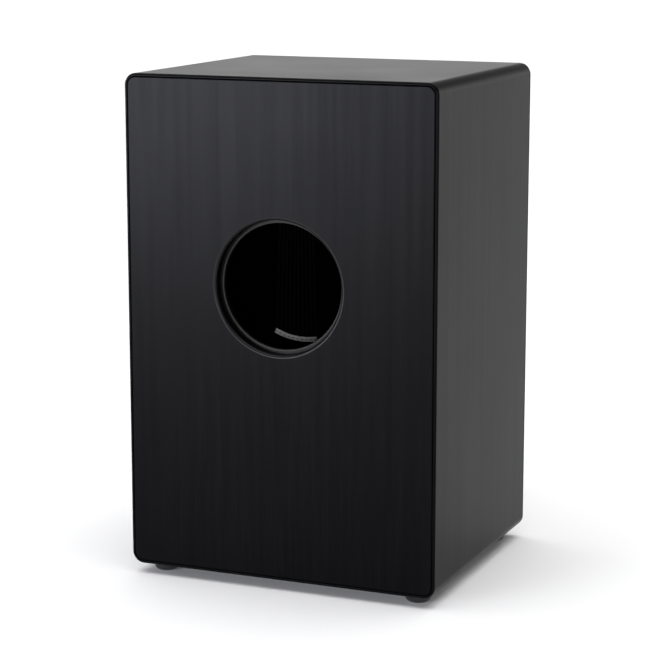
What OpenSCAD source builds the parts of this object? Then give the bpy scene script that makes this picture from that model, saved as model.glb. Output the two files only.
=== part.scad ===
// Cajon: a box drum that is sat on and played with the hands.
// The player sits on the seat and faces -Y, so the front plate is at -Y, the sound hole is in the
// rear panel at +Y, the player's left is +X and the player's right is -X. +Z is up. The origin is
// on the floor, under the middle of the box.

/* [Body] */
// Width of the body, side to side
body_w = 300; // [280:1:330]
// Depth of the body, front plate included
body_d = 256; // [240:1:320]
// Height of the body without its feet
body_h = 456; // [440:1:500]
// Thickness of the seat, bottom and side panels
wall_t = 12; // [11:0.5:15]
// Radius of the four long corners
corner_r = 11; // [8:0.5:12]
// Radius of the rounded rim round the back
rim_r = 2; // [1:0.25:2.25]
// Leg of the triangular glue blocks in the long corners
block_leg = 20; // [12:1:24]

/* [Rear panel and sound hole] */
// Thickness of the rear panel
rear_t = 9; // [8:0.5:12]
// Width of the body's rim that shows round the rear panel
rear_lip = 2.5; // [2.4:0.1:4]
// Gap between the rim and the rear panel
rear_gap = 0.5; // [0.2:0.1:0.8]
// Radius of the rear panel's own edge
rear_edge_r = 1; // [0.5:0.1:1.2]
// Radius of the hole cut through the rear panel
hole_r = 60.5; // [58:0.5:64]
// Rounding of the hole's outer edge
hole_round = 3; // [2:0.5:4]
// Height of the hole's centre above the underside of the body
hole_h = 270; // [250:1:290]
// Clear radius of the ring behind the hole
ring_r = 57; // [54:0.5:57.5]
// Outer radius of the ring behind the hole
ring_outer_r = 72; // [68:1:80]
// Thickness of the ring behind the hole
ring_t = 5; // [4:0.5:8]

/* [Front plate] */
// Thickness of the front plate, the playing surface
plate_t = 3; // [2.5:0.5:3.5]
// Rounding of the front plate's edge
plate_edge_r = 1; // [0.5:0.1:1.2]
// Distance of the screws from the edge of the body
screw_inset = 7; // [6.5:0.1:7.5]
// Screws along the top, and as many along the bottom
screws_across = 5; // [3:1:7]
// Screws up each side, between the corner ones
screws_up = 6; // [4:1:8]

/* [Feet] */
// Height of a rubber foot
foot_h = 10; // [8:0.5:14]
// Radius of a foot against the body
foot_top_r = 13; // [12:0.5:14]
// Radius of a foot where its rounded bottom starts
foot_low_r = 11.8; // [11:0.1:12]
// Rounding of a foot's lower edge
foot_round = 5; // [3:0.25:5]
// Distance of a foot's centre from the sides and from the back of the body
foot_inset = 24; // [20:1:30]

/* [Snares] */
// Height of the snare bar's axis above the underside of the body
bar_h = 404; // [395:1:410]
// Side of the square snare bar
bar_side = 16; // [14:1:18]
// Radius of the bar's round ends
tenon_r = 5; // [4:0.5:6]
// Radial clearance of the round ends in their blocks
running_clear = 0.05; // [0.02:0.01:0.1]
// Distance of each snare's clamp plate from the middle of the bar
snare_top_x = 91; // [80:1:95]
// Distance of each snare's end strip from the middle of the body
snare_end_x = 92; // [88:1:96]
// Height of the lowest point of an end strip above the underside of the body
snare_end_h = 169; // [150:1:180]
// Wires in a snare
wires = 10; // [6:1:12]
// Radius of one coiled wire
wire_r = 1.2; // [1:0.1:1.4]
// Spacing of the wires on the clamp plate
wire_pitch_top = 3; // [2.8:0.1:3.2]
// Spacing of the wires at the end strip
wire_pitch_end = 4.8; // [4:0.1:4.9]
// Middle radius of the curved end strip
strip_bend_r = 70; // [60:1:120]
// Width of the curved end strip
strip_w = 5; // [4.5:0.5:9]
// How far the lowest point of an end strip lies from its middle, towards the middle of the body
strip_lean = 8.5; // [0:0.5:10]

/* [Hidden] */
$fn = 64;

// Margin by which a cut runs past the face it opens
past = 1;
front_y = -body_d / 2;
rear_y = body_d / 2;
plate_y = front_y + plate_t;
mid_z = foot_h + body_h / 2;
inner_w = body_w - 2 * wall_t;
inner_h = body_h - 2 * wall_t;
rear_inset = rear_lip + rear_gap;
hole_z = foot_h + hole_h;
// How far the glue blocks stop short of the front plate
glue_block_short = 6;

// Screws of the front plate, as [x, height from the middle of the body]
screw_x = body_w / 2 - screw_inset;
screw_z = body_h / 2 - screw_inset;
row_half = body_w / 2 - 2.6 * screw_inset;
column_half = screw_z - 4 * screw_inset;
step_across = 2 * row_half / (screws_across - 1);
step_up = 2 * column_half / (screws_up - 1);
row_screws = [
    for (s = [-1, 1], i = [0 : screws_across - 1]) [i * step_across - row_half, s * screw_z]
];
side_screws = [
    for (s = [-1, 1], i = [0 : screws_up - 1]) [s * screw_x, (i - (screws_up - 1) / 2) * step_up]
];
screw_places = concat(row_screws, side_screws);
screw_head_r = 3.6;
screw_head_land = 0.6;
screw_head_cone = 1.8;
screw_core_r = 1.8;
screw_len = 22;

// Cross recesses, as [length, width, depth]
plate_screw_cross = [3.8, 0.9, 1.5];
foot_screw_cross = [4, 0.9, 1.2];
block_screw_cross = [3.4, 0.8, 0.9];
clamp_screw_cross = [3.2, 0.7, 0.6];

// Feet, as [x, y]
foot_x = body_w / 2 - foot_inset;
foot_y = body_d / 2 - foot_inset;
foot_hole_r = 2.1;
foot_recess_r = 4.6;
foot_recess_h = 5.5;
foot_washer_t = 1;
foot_washer_play = 0.3;
foot_screw_head_r = 3.6;
foot_screw_head_h = 2.2;
foot_screw_core_r = 1.75;
foot_screw_reach = 10;

// Snares: the wires hang just behind the front plate, and everything else on the bar is behind them
wire_gap = 0.5;
wire_y = plate_y + wire_gap + wire_r;
sheet_t = 1.2;
sheet_y = wire_y + wire_r;
bar_front_y = sheet_y + sheet_t;
bar_y = bar_front_y + bar_side / 2;
bar_z = foot_h + bar_h;
bar_block_w = 18;
bar_block_d = 30;
bar_block_tall = 36;
bar_block_y = plate_y + 0.5;
bar_block_x = inner_w / 2 - bar_block_w;
bar_end_gap = 0.5;
tenon_len = 14;
tenon_play = 1;
clamp_w = 46;
clamp_h = 14;
clamp_screw_x = 19;
clamp_screw_core_r = 1.4;
clamp_screw_len = 10;
clamp_z = bar_z - clamp_h / 2;
clamp_screw_z = clamp_z + 2;
clamp_hole_r = 1.5;
clamp_head_r = 2.8;
clamp_head_h = 1.4;
block_screw_y = bar_y + 12;
block_screw_z = 12;
block_screw_head_r = 3.4;
block_screw_cone = 1.8;
block_screw_core_r = 1.6;
block_screw_grip = 8;
wire_top_z = bar_z - 2;
strip_mid_z = foot_h + snare_end_h + strip_w / 2 + strip_bend_r;
strip_outer_angle = 26;
strip_inner_angle = 12.5;
thumb_r = 3;
thumb_x = bar_block_x + bar_block_w / 2;
thumb_tip_gap = 0.3;
thumb_head_r = 8.6;
thumb_head_t = 7;
thumb_head_gap = 0.6;
flutes = 18;
flute_r = 1;
flute_centre_r = thumb_head_r + 0.4;

// Extrude an outline drawn in X and height, centred on the body, from y0 back to y1
module slab(y0, y1) {
    translate([0, y1, mid_z])
        rotate([90, 0, 0])
            linear_extrude(y1 - y0)
                children();
}

// Rectangle with round corners, centred
module round_rect(w, h, r) {
    square([w - 2 * r, h], center = true);
    square([w, h - 2 * r], center = true);
    for (x = [-1, 1], y = [-1, 1])
        translate([x * (w / 2 - r), y * (h / 2 - r)])
            circle(r);
}

// What a rounded edge takes away, seen along the edge, with the rounding's centre at the origin
module edge_waste(r) {
    difference() {
        square(r + past);
        circle(r);
    }
}

// Rounds the edge at y = face all round a w by h slab with corners of radius cr
module round_rim(w, h, cr, r, face) {
    translate([0, face - r, mid_z])
        for (side = [0 : 3]) {
            along = (side % 2 == 0 ? w : h) / 2 - cr;
            out = (side % 2 == 0 ? h : w) / 2;
            rotate([0, 90 * side, 0]) {
                translate([along, 0, out - r])
                    rotate([0, -90, 0])
                        linear_extrude(2 * along)
                            edge_waste(r);
                translate([along, 0, out - cr])
                    rotate([-90, 0, 0])
                        rotate([0, 0, -90])
                            rotate_extrude(angle = 90)
                                translate([cr - r, 0])
                                    edge_waste(r);
            }
        }
}

// A round bar along +Y that starts at y0
module along_y(x, y0, z, r, len) {
    translate([x, y0 + len, z])
        rotate([90, 0, 0])
            cylinder(r = r, h = len);
}

// Cross recess of a screw head, sunk along Z from the origin; size is [length, width, depth]
module cross_recess(size) {
    cube([size[0], size[1], 2 * size[2]], center = true);
    cube([size[1], size[0], 2 * size[2]], center = true);
}

// Holes for the front plate's screws in the front edge of the body
module screw_pilots() {
    for (p = screw_places)
        along_y(p[0], front_y, mid_z + p[1], screw_core_r, screw_len);
}

// One wall of the box: its outline is a mitred strip of the frame, rebated for the rear panel
module wall(mitre) {
    difference() {
        intersection() {
            slab(plate_y, rear_y) round_rect(body_w, body_h, corner_r);
            slab(plate_y - past, rear_y + past) polygon(mitre);
        }
        slab(rear_y - rear_t, rear_y + past)
            round_rect(body_w - 2 * rear_lip, body_h - 2 * rear_lip, corner_r - rear_lip);
        round_rim(body_w, body_h, corner_r, rim_r, rear_y);
        screw_pilots();
    }
}

// Corners of a mitred wall across the top (s = 1) or the bottom (s = -1)
function mitre_across(s) = [
    [-body_w / 2 - past, s * (body_h / 2 + past)],
    [body_w / 2 + past, s * (body_h / 2 + past)],
    [inner_w / 2, s * inner_h / 2],
    [-inner_w / 2, s * inner_h / 2]
];

// Corners of a mitred wall up the left (s = 1) or the right (s = -1) side
function mitre_up(s) = [
    [s * (body_w / 2 + past), -body_h / 2 - past],
    [s * (body_w / 2 + past), body_h / 2 + past],
    [s * inner_w / 2, inner_h / 2],
    [s * inner_w / 2, -inner_h / 2]
];

module seat_panel() {
    color("#3a3a3d") wall(mitre_across(1));
}

module bottom_panel() {
    color("#2b2b2d")
        difference() {
            wall(mitre_across(-1));
            foot_places()
                translate([0, 0, foot_h])
                    cylinder(r = foot_screw_core_r, h = foot_screw_reach);
        }
}

// Side panel with pilot holes for the screws of its bar block
module side_panel(s) {
    color("#303033")
        difference() {
            wall(mitre_up(s));
            block_screws(s);
        }
}

module rear_panel() {
    color("#28282a")
        difference() {
            slab(rear_y - rear_t, rear_y)
                round_rect(body_w - 2 * rear_inset, body_h - 2 * rear_inset, corner_r - rear_inset);
            along_y(0, rear_y - rear_t - past, hole_z, hole_r, rear_t + 2 * past);
            translate([0, rear_y - hole_round, hole_z])
                rotate([-90, 0, 0])
                    rotate_extrude()
                        translate([hole_r + hole_round, 0])
                            mirror([1, 0])
                                edge_waste(hole_round);
            round_rim(
                body_w - 2 * rear_inset, body_h - 2 * rear_inset,
                corner_r - rear_inset, rear_edge_r, rear_y
            );
        }
}

// Ring glued behind the sound hole, a little smaller than it, with an eased front edge
module sound_hole_ring() {
    ease = 1.2;
    color("#232325")
        translate([0, rear_y - rear_t, hole_z])
            rotate([-90, 0, 0])
                rotate_extrude()
                    difference() {
                        translate([ring_r, -ring_t])
                            square([ring_outer_r - ring_r, ring_t]);
                        translate([ring_r + ease, -ease])
                            mirror([1, 0])
                                edge_waste(ease);
                    }
}

module front_plate() {
    color("#c9a36b")
        difference() {
            slab(front_y, plate_y) round_rect(body_w, body_h, corner_r);
            mirror([0, 1, 0]) round_rim(body_w, body_h, corner_r, plate_edge_r, -front_y);
            for (p = screw_places)
                translate([p[0], front_y, mid_z + p[1]])
                    screw_body(past);
        }
}

// Countersunk screw with its head at the origin and its shank along +Y
module screw_body(proud) {
    rotate([-90, 0, 0]) {
        translate([0, 0, -proud]) cylinder(r = screw_head_r, h = screw_head_land + proud);
        translate([0, 0, screw_head_land])
            cylinder(r1 = screw_head_r, r2 = screw_core_r, h = screw_head_cone);
        cylinder(r = screw_core_r, h = screw_len);
    }
}

module front_plate_screws() {
    color("#1c1c1e")
        for (p = screw_places)
            translate([p[0], front_y, mid_z + p[1]])
                difference() {
                    screw_body(0);
                    rotate([-90, 0, 0]) cross_recess(plate_screw_cross);
                }
}

// Triangular glue block in a long corner: sx is the side, sz is top or bottom
module glue_block(sx, sz) {
    x = sx * inner_w / 2;
    z = sz * inner_h / 2;
    color("#8a6f4a")
        slab(plate_y + glue_block_short, rear_y - rear_t)
            polygon([[x, z], [x - sx * block_leg, z], [x, z - sz * block_leg]]);
}

// Repeats its children at the four feet
module foot_places() {
    for (x = [-1, 1], y = [-1, 1])
        translate([x * foot_x, y * foot_y, 0])
            children();
}

// Domed rubber foot with a recess under it for its washer and screw
module foot(sx, sy) {
    color("#3c3c40")
        translate([sx * foot_x, sy * foot_y, 0])
            difference() {
                rotate_extrude()
                    difference() {
                        polygon([
                            [0, 0], [foot_low_r, 0], [foot_low_r, foot_round],
                            [foot_top_r, foot_h], [0, foot_h]
                        ]);
                        translate([foot_low_r - foot_round, foot_round])
                            mirror([0, 1])
                                edge_waste(foot_round);
                    }
                translate([0, 0, -past]) cylinder(r = foot_hole_r, h = foot_h + 2 * past);
                translate([0, 0, -past]) cylinder(r = foot_recess_r, h = foot_recess_h + past);
            }
}

module foot_washers() {
    color("#a9abae")
        foot_places()
            translate([0, 0, foot_recess_h - foot_washer_t])
                difference() {
                    cylinder(r = foot_recess_r - foot_washer_play, h = foot_washer_t);
                    translate([0, 0, -past]) cylinder(r = foot_hole_r, h = foot_washer_t + 2 * past);
                }
}

// Pan-head wood screws that hold the feet
module foot_screws() {
    head_z = foot_recess_h - foot_washer_t - foot_screw_head_h;
    color("#b5b7ba")
        foot_places()
            difference() {
                union() {
                    translate([0, 0, head_z]) cylinder(r = foot_screw_head_r, h = foot_screw_head_h);
                    translate([0, 0, head_z])
                        cylinder(r = foot_screw_core_r, h = foot_h + foot_screw_reach - head_z);
                }
                translate([0, 0, head_z]) cross_recess(foot_screw_cross);
            }
}

// Wooden block on a side panel that carries one end of the snare bar
module bar_block(sx) {
    color("#8a6f4a")
        difference() {
            translate([sx > 0 ? bar_block_x : -bar_block_x - bar_block_w, bar_block_y,
                       bar_z - bar_block_tall / 2])
                cube([bar_block_w, bar_block_d, bar_block_tall]);
            translate([sx * bar_block_x, bar_y, bar_z])
                rotate([0, sx * 90, 0])
                    translate([0, 0, -past])
                        cylinder(r = tenon_r + running_clear, h = past + bar_end_gap + tenon_len + tenon_play);
            block_screws(sx);
            if (sx < 0)
                along_y(-thumb_x, bar_y, bar_z, thumb_r + running_clear, bar_block_d);
        }
}

// Repeats its children at the two screws of one bar block, with +Z into the block
module block_screw_places(sx) {
    for (s = [-1, 1])
        translate([sx * bar_block_x, block_screw_y, bar_z + s * block_screw_z])
            rotate([0, sx * 90, 0])
                children();
}

// The two screws of one bar block, head on the block and point in the side panel
module block_screws(sx) {
    block_screw_places(sx) {
        cylinder(r1 = block_screw_head_r, r2 = block_screw_core_r, h = block_screw_cone);
        cylinder(r = block_screw_core_r, h = bar_block_w + block_screw_grip);
    }
}

module bar_block_screws() {
    color("#b5b7ba")
        for (sx = [-1, 1])
            difference() {
                block_screws(sx);
                block_screw_places(sx) cross_recess(block_screw_cross);
            }
}

// Knurled screw that locks the bar's round end in the right block
module thumb_screw() {
    tip_y = bar_y + tenon_r + thumb_tip_gap;
    head_y = bar_block_y + bar_block_d + thumb_head_gap;
    color("#8f9194")
        difference() {
            union() {
                along_y(-thumb_x, tip_y, bar_z, thumb_r, head_y - tip_y + past);
                along_y(-thumb_x, head_y, bar_z, thumb_head_r, thumb_head_t);
            }
            for (i = [0 : flutes - 1])
                along_y(
                    -thumb_x + flute_centre_r * cos(i * 360 / flutes), head_y - thumb_head_gap / 2,
                    bar_z + flute_centre_r * sin(i * 360 / flutes), flute_r, thumb_head_t + past
                );
        }
}

// Square bar across the box with a round tenon at each end
module snare_bar() {
    half = bar_block_x - bar_end_gap;
    color("#8a6f4a")
        difference() {
            union() {
                translate([-half, bar_front_y, bar_z - bar_side / 2])
                    cube([2 * half, bar_side, bar_side]);
                translate([-half - tenon_len, bar_y, bar_z])
                    rotate([0, 90, 0])
                        cylinder(r = tenon_r, h = 2 * (half + tenon_len));
            }
            for (sx = [-1, 1])
                clamp_screw_places(sx)
                    rotate([-90, 0, 0])
                        cylinder(r = clamp_screw_core_r, h = clamp_screw_len);
        }
}

// Where wire i of the snare on side sx meets the clamp plate and the end strip, as [x, z]
function wire_spread(i) = i - (wires - 1) / 2;
function wire_top(sx, i) = [sx * snare_top_x + wire_spread(i) * wire_pitch_top, wire_top_z];
function wire_end(sx, i) =
    let (x = sx * snare_end_x + wire_spread(i) * wire_pitch_end, off = x - strip_low_x(sx))
        [x, strip_mid_z - sqrt(strip_bend_r * strip_bend_r - off * off)];
function strip_low_x(sx) = sx * (snare_end_x - strip_lean);

// Coiled wires of one snare, each as the tube that the coil fills
module snare_wires(sx) {
    color("#c4c6c8")
        for (i = [0 : wires - 1]) {
            a = wire_top(sx, i);
            b = wire_end(sx, i);
            translate([a[0], wire_y, a[1]])
                rotate([0, 180 + atan2(a[0] - b[0], a[1] - b[1]), 0])
                    cylinder(r = wire_r, h = norm(a - b), $fn = 24);
        }
}

// Steel plate that the tops of the wires are soldered to
module clamp_plate(sx) {
    color("#bfc1c4")
        difference() {
            translate([sx * snare_top_x - clamp_w / 2, sheet_y, clamp_z - clamp_h / 2])
                cube([clamp_w, sheet_t, clamp_h]);
            clamp_screw_places(sx)
                rotate([-90, 0, 0])
                    translate([0, 0, -past])
                        cylinder(r = clamp_hole_r, h = sheet_t + 2 * past);
        }
}

// Repeats its children at the two screws of a clamp plate
module clamp_screw_places(sx) {
    for (s = [-1, 1])
        translate([sx * snare_top_x + s * clamp_screw_x, sheet_y, clamp_screw_z])
            children();
}

module clamp_plate_screws() {
    color("#b5b7ba")
        for (sx = [-1, 1])
            clamp_screw_places(sx)
                rotate([-90, 0, 0])
                    difference() {
                        union() {
                            translate([0, 0, -clamp_head_h]) cylinder(r = clamp_head_r, h = clamp_head_h);
                            cylinder(r = clamp_screw_core_r, h = clamp_screw_len);
                        }
                        translate([0, 0, -clamp_head_h]) cross_recess(clamp_screw_cross);
                    }
}

// Curved steel strip that the lower ends of the wires are soldered to
module end_strip(sx) {
    span = 2 * strip_bend_r;
    color("#d6d8da")
        translate([strip_low_x(sx), sheet_y + sheet_t, strip_mid_z])
            rotate([90, 0, 0])
                linear_extrude(sheet_t)
                    intersection() {
                        difference() {
                            circle(strip_bend_r + strip_w / 2, $fn = 128);
                            circle(strip_bend_r - strip_w / 2, $fn = 128);
                        }
                        polygon([
                            [0, 0],
                            [-sx * span * sin(strip_inner_angle), -span * cos(strip_inner_angle)],
                            [sx * span * sin(strip_outer_angle), -span * cos(strip_outer_angle)]
                        ]);
                    }
}

seat_panel();
bottom_panel();
side_panel(1);  // left_side_panel
side_panel(-1);  // right_side_panel
rear_panel();
sound_hole_ring();
front_plate();
front_plate_screws();
glue_block(1, 1);  // glue_block_top_left
glue_block(-1, 1);  // glue_block_top_right
glue_block(1, -1);  // glue_block_bottom_left
glue_block(-1, -1);  // glue_block_bottom_right
foot(1, -1);  // foot_front_left
foot(-1, -1);  // foot_front_right
foot(1, 1);  // foot_rear_left
foot(-1, 1);  // foot_rear_right
foot_washers();
foot_screws();
bar_block(1);  // bar_block_left
bar_block(-1);  // bar_block_right
bar_block_screws();
thumb_screw();
snare_bar();
snare_wires(1);  // snare_wires_left
snare_wires(-1);  // snare_wires_right
clamp_plate(1);  // clamp_plate_left
clamp_plate(-1);  // clamp_plate_right
clamp_plate_screws();
end_strip(1);  // end_strip_left
end_strip(-1);  // end_strip_right
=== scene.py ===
import math

import bmesh
import bpy
from mathutils import Matrix, Vector


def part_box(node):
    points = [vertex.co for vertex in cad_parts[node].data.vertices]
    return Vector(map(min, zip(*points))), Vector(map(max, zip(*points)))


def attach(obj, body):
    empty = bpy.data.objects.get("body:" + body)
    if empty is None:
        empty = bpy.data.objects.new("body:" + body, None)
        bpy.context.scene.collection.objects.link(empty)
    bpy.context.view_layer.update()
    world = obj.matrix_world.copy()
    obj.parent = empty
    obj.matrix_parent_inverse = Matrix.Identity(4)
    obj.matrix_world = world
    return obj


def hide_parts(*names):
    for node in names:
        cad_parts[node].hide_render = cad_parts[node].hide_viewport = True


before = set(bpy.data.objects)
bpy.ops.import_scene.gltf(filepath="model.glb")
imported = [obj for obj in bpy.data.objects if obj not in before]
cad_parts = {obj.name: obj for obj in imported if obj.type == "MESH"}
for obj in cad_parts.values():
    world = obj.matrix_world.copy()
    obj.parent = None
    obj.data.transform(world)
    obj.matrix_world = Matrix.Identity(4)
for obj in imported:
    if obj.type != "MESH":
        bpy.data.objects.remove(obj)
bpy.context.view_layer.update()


# ==== Studio ====================================================================================
# The drum stands with its back to the viewer on a pale seamless floor. A white sweep glows all round
# up to eye height, and a wide light fills the ceiling, with dim walls between. A softbox stands low
# on the viewer's left, and a small lamp beside the viewer reaches in through the sound hole.

scene = bpy.context.scene
scene.view_settings.view_transform = "Standard"

AIM = Vector((0.0029, 0.0012, 0.2193))
CAMERA_DISTANCE = 2.0556
CAMERA_AZIMUTH = math.radians(202.74)
CAMERA_ELEVATION = math.radians(11.09)


def from_aim(azimuth, elevation, distance):
    """A point seen from AIM; azimuth 0 is in front of the drum (-Y), and 90 degrees is at +X."""
    level = distance * math.cos(elevation)
    height = distance * math.sin(elevation)
    return AIM + Vector((level * math.sin(azimuth), -level * math.cos(azimuth), height))


def aimed(thing, place, target=AIM):
    """Puts a camera or a light at a place, looking at the target."""
    thing.location = place
    thing.rotation_euler = (target - place).to_track_quat("-Z", "Y").to_euler()
    scene.collection.objects.link(thing)


lens = bpy.data.cameras.new("camera")
lens.sensor_width = 36.0
lens.lens = 118.7
lens.clip_start = 0.05
camera = bpy.data.objects.new("camera", lens)
aimed(camera, from_aim(CAMERA_AZIMUTH, CAMERA_ELEVATION, CAMERA_DISTANCE))
scene.camera = camera


def softbox(name, azimuth, elevation, distance, width, height, watts, colour=(1.0, 1.0, 1.0)):
    """A rectangular soft light, aimed at the drum and turned square to it."""
    panel = bpy.data.lights.new(name, "AREA")
    panel.color = colour
    panel.shape = "RECTANGLE"
    panel.size = width
    panel.size_y = height
    panel.energy = watts
    aimed(
        bpy.data.objects.new(name, panel),
        from_aim(math.radians(azimuth), math.radians(elevation), distance),
    )


COOL_WHITE = (0.97, 0.985, 1.11)
softbox(
    "softbox_low_left", azimuth=151, elevation=3, distance=3.2, width=1.4, height=0.88, watts=78,
    colour=COOL_WHITE,
)
softbox("lamp_beside_viewer", azimuth=201, elevation=9, distance=2.6, width=0.14, height=0.14, watts=14)

world = bpy.data.worlds.new("sweep_and_overhead_light")
world.use_nodes = True
room = world.node_tree.nodes["Background"]
CEILING_STRENGTH = 2.75
SWEEP_SHARE = 0.5
WALL_SHARE = 0.06
room.inputs["Strength"].default_value = CEILING_STRENGTH
direction = world.node_tree.nodes.new("ShaderNodeTexCoord")
height_of = world.node_tree.nodes.new("ShaderNodeSeparateXYZ")
fade = world.node_tree.nodes.new("ShaderNodeValToRGB")
bands = fade.color_ramp.elements
# The ramp runs over the sine of the elevation, with the sweep up to 0.10, the walls from 0.30 to 0.70
# and the ceiling from 0.84. Between them the light blends.
for sine in (0.30, 0.70):
    bands.new(sine).color = (WALL_SHARE, WALL_SHARE, WALL_SHARE, 1.0)
bands[0].position = 0.10
bands[0].color = (SWEEP_SHARE, SWEEP_SHARE, SWEEP_SHARE, 1.0)
bands[3].position = 0.84
bands[3].color = (1.0, 1.0, 1.0, 1.0)
world.node_tree.links.new(direction.outputs["Generated"], height_of.inputs["Vector"])
world.node_tree.links.new(height_of.outputs["Z"], fade.inputs["Fac"])
world.node_tree.links.new(fade.outputs["Color"], room.inputs["Color"])
scene.world = world


def finish_coat(name, colour, roughness, specular=0.5, metallic=0.0):
    """A new material with the values that are the same all over its surface."""
    material = bpy.data.materials.new(name)
    material.use_nodes = True
    surface = material.node_tree.nodes["Principled BSDF"]
    surface.inputs["Base Color"].default_value = (*colour, 1.0)
    surface.inputs["Roughness"].default_value = roughness
    surface.inputs["Specular IOR Level"].default_value = specular
    surface.inputs["Metallic"].default_value = metallic
    return material


def pattern(material, scale, stretch=(1.0, 1.0, 1.0), detail=2.0, distortion=0.0):
    """Noise on the object's own coordinates, stretched along the wood; returns its value."""
    nodes, links = material.node_tree.nodes, material.node_tree.links
    place = nodes.new("ShaderNodeTexCoord")
    mapping = nodes.new("ShaderNodeMapping")
    mapping.inputs["Scale"].default_value = stretch
    noise = nodes.new("ShaderNodeTexNoise")
    noise.inputs["Scale"].default_value = scale
    noise.inputs["Detail"].default_value = detail
    noise.inputs["Distortion"].default_value = distortion
    links.new(place.outputs["Object"], mapping.inputs["Vector"])
    links.new(mapping.outputs["Vector"], noise.inputs["Vector"])
    return noise.outputs["Fac"]


def tint(material, value, colours, low=0.3, high=0.7):
    """The base colour runs through the given colours as the value goes from low to high."""
    nodes, links = material.node_tree.nodes, material.node_tree.links
    ramp = nodes.new("ShaderNodeValToRGB")
    stops = ramp.color_ramp.elements
    while len(stops) < len(colours):
        stops.new(0.5)
    for i, colour in enumerate(colours):
        stops[i].position = low + (high - low) * i / (len(colours) - 1)
        stops[i].color = (*colour, 1.0)
    links.new(value, ramp.inputs["Fac"])
    links.new(ramp.outputs["Color"], nodes["Principled BSDF"].inputs["Base Color"])


def vary_gloss(material, value, low, high, socket="Roughness"):
    """The roughness, or another socket of the surface, goes from low to high with the value."""
    nodes, links = material.node_tree.nodes, material.node_tree.links
    spread = nodes.new("ShaderNodeMapRange")
    spread.inputs["From Min"].default_value = 0.3
    spread.inputs["From Max"].default_value = 0.7
    spread.inputs["To Min"].default_value = low
    spread.inputs["To Max"].default_value = high
    links.new(value, spread.inputs["Value"])
    links.new(spread.outputs["Result"], nodes["Principled BSDF"].inputs[socket])


def relief(material, *layers):
    """Bumps, each given as a value and the height in metres that it stands for."""
    nodes, links = material.node_tree.nodes, material.node_tree.links
    below = None
    for value, height in layers:
        bump = nodes.new("ShaderNodeBump")
        bump.inputs["Distance"].default_value = height
        links.new(value, bump.inputs["Height"])
        if below:
            links.new(below, bump.inputs["Normal"])
        below = bump.outputs["Normal"]
    links.new(below, nodes["Principled BSDF"].inputs["Normal"])


MERGE_DISTANCE = 2e-6


def piece(name, bm, *coats, sharp=32.0):
    """A finished object from a bmesh: doubles merged, faces outward, smooth between sharp edges."""
    bmesh.ops.remove_doubles(bm, verts=bm.verts, dist=MERGE_DISTANCE)
    bmesh.ops.recalc_face_normals(bm, faces=bm.faces)
    mesh = bpy.data.meshes.new(name)
    bm.to_mesh(mesh)
    bm.free()
    mesh.shade_smooth()
    mesh.set_sharp_from_angle(angle=math.radians(sharp))
    for coat in coats:
        mesh.materials.append(coat)
    shown = bpy.data.objects.new(name, mesh)
    scene.collection.objects.link(shown)
    return shown


FLOOR_HALF = 20.0
floor_paint = finish_coat("floor_paint", (0.88, 0.88, 0.88), 0.7, specular=0.1)
vary_gloss(floor_paint, pattern(floor_paint, 3.0), 0.62, 0.78)
ground = bmesh.new()
bmesh.ops.create_grid(ground, x_segments=4, y_segments=4, size=FLOOR_HALF)
floor = piece("floor", ground, floor_paint)
for face in floor.data.polygons:
    if face.normal.z < 0:
        floor.data.flip_normals()
        break


# ==== Walls of the box ==========================================================================
# Seat, bottom and two sides: 12 mm birch plywood, mitred at the corners, glued, then rounded over on
# the long corners and round the back rim. Sprayed satin black outside. Inside is matt black paint, set
# darker than real paint so that it also paints in the shade inside the box.

MM = 0.001
HALF_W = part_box("left_side_panel")[1].x
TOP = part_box("seat_panel")[1].z
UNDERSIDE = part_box("bottom_panel")[0].z
HALF_H = (TOP - UNDERSIDE) / 2
MID_Z = (TOP + UNDERSIDE) / 2
WALL_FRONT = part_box("seat_panel")[0].y
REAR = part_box("seat_panel")[1].y
WALL_T = HALF_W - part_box("left_side_panel")[0].x
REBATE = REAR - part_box("rear_panel")[0].y
CORNER_R = 11 * MM
RIM_R = 2 * MM
REAR_LIP = 2.5 * MM
LIP_EASE = 0.3 * MM
# Holding edges run this far from a rounding, so that the flat faces beside it shade flat.
HOLD = 0.4 * MM


def satin_black(name, stretch):
    """Satin lacquer over plywood: near black, with the grain just telling through it."""
    lacquer = finish_coat(name, (0.0006, 0.0006, 0.0008), 0.295, specular=0.05)
    streaks = pattern(lacquer, 700.0, stretch, detail=3.0, distortion=0.3)
    clouds = pattern(lacquer, 9.0, detail=3.0)
    orange_peel = pattern(lacquer, 620.0, detail=1.0)
    tint(lacquer, streaks, [(0.0002, 0.0002, 0.0004), (0.0005, 0.0005, 0.0008), (0.0012, 0.0012, 0.0016)])
    vary_gloss(lacquer, clouds, 0.28, 0.31)
    vary_gloss(lacquer, pattern(lacquer, 170.0, stretch, detail=3.0), 0.045, 0.055, "Specular IOR Level")
    relief(lacquer, (streaks, 0.012 * MM), (orange_peel, 0.005 * MM))
    return lacquer


GRAIN_UP = (1.0, 1.0, 0.022)
GRAIN_ACROSS = (0.022, 1.0, 1.0)
lacquer_up = satin_black("satin_black_grain_up", GRAIN_UP)
lacquer_across = satin_black("satin_black_grain_across", GRAIN_ACROSS)

# Matt black for the inside, set near zero: partly real black paint, partly painted shade for the dark
# inside of the box.
inside_black_painted_shade = finish_coat("matt_black_inside", (0.0005, 0.0005, 0.0005), 0.85, specular=0.01)
brush_marks = pattern(inside_black_painted_shade, 260.0, (1.0, 0.05, 1.0), detail=3.0)
tint(inside_black_painted_shade, brush_marks, [(0.0003, 0.0003, 0.0003), (0.0007, 0.0007, 0.0007)])
vary_gloss(inside_black_painted_shade, brush_marks, 0.72, 0.88)
relief(inside_black_painted_shade, (brush_marks, 0.05 * MM))


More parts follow.
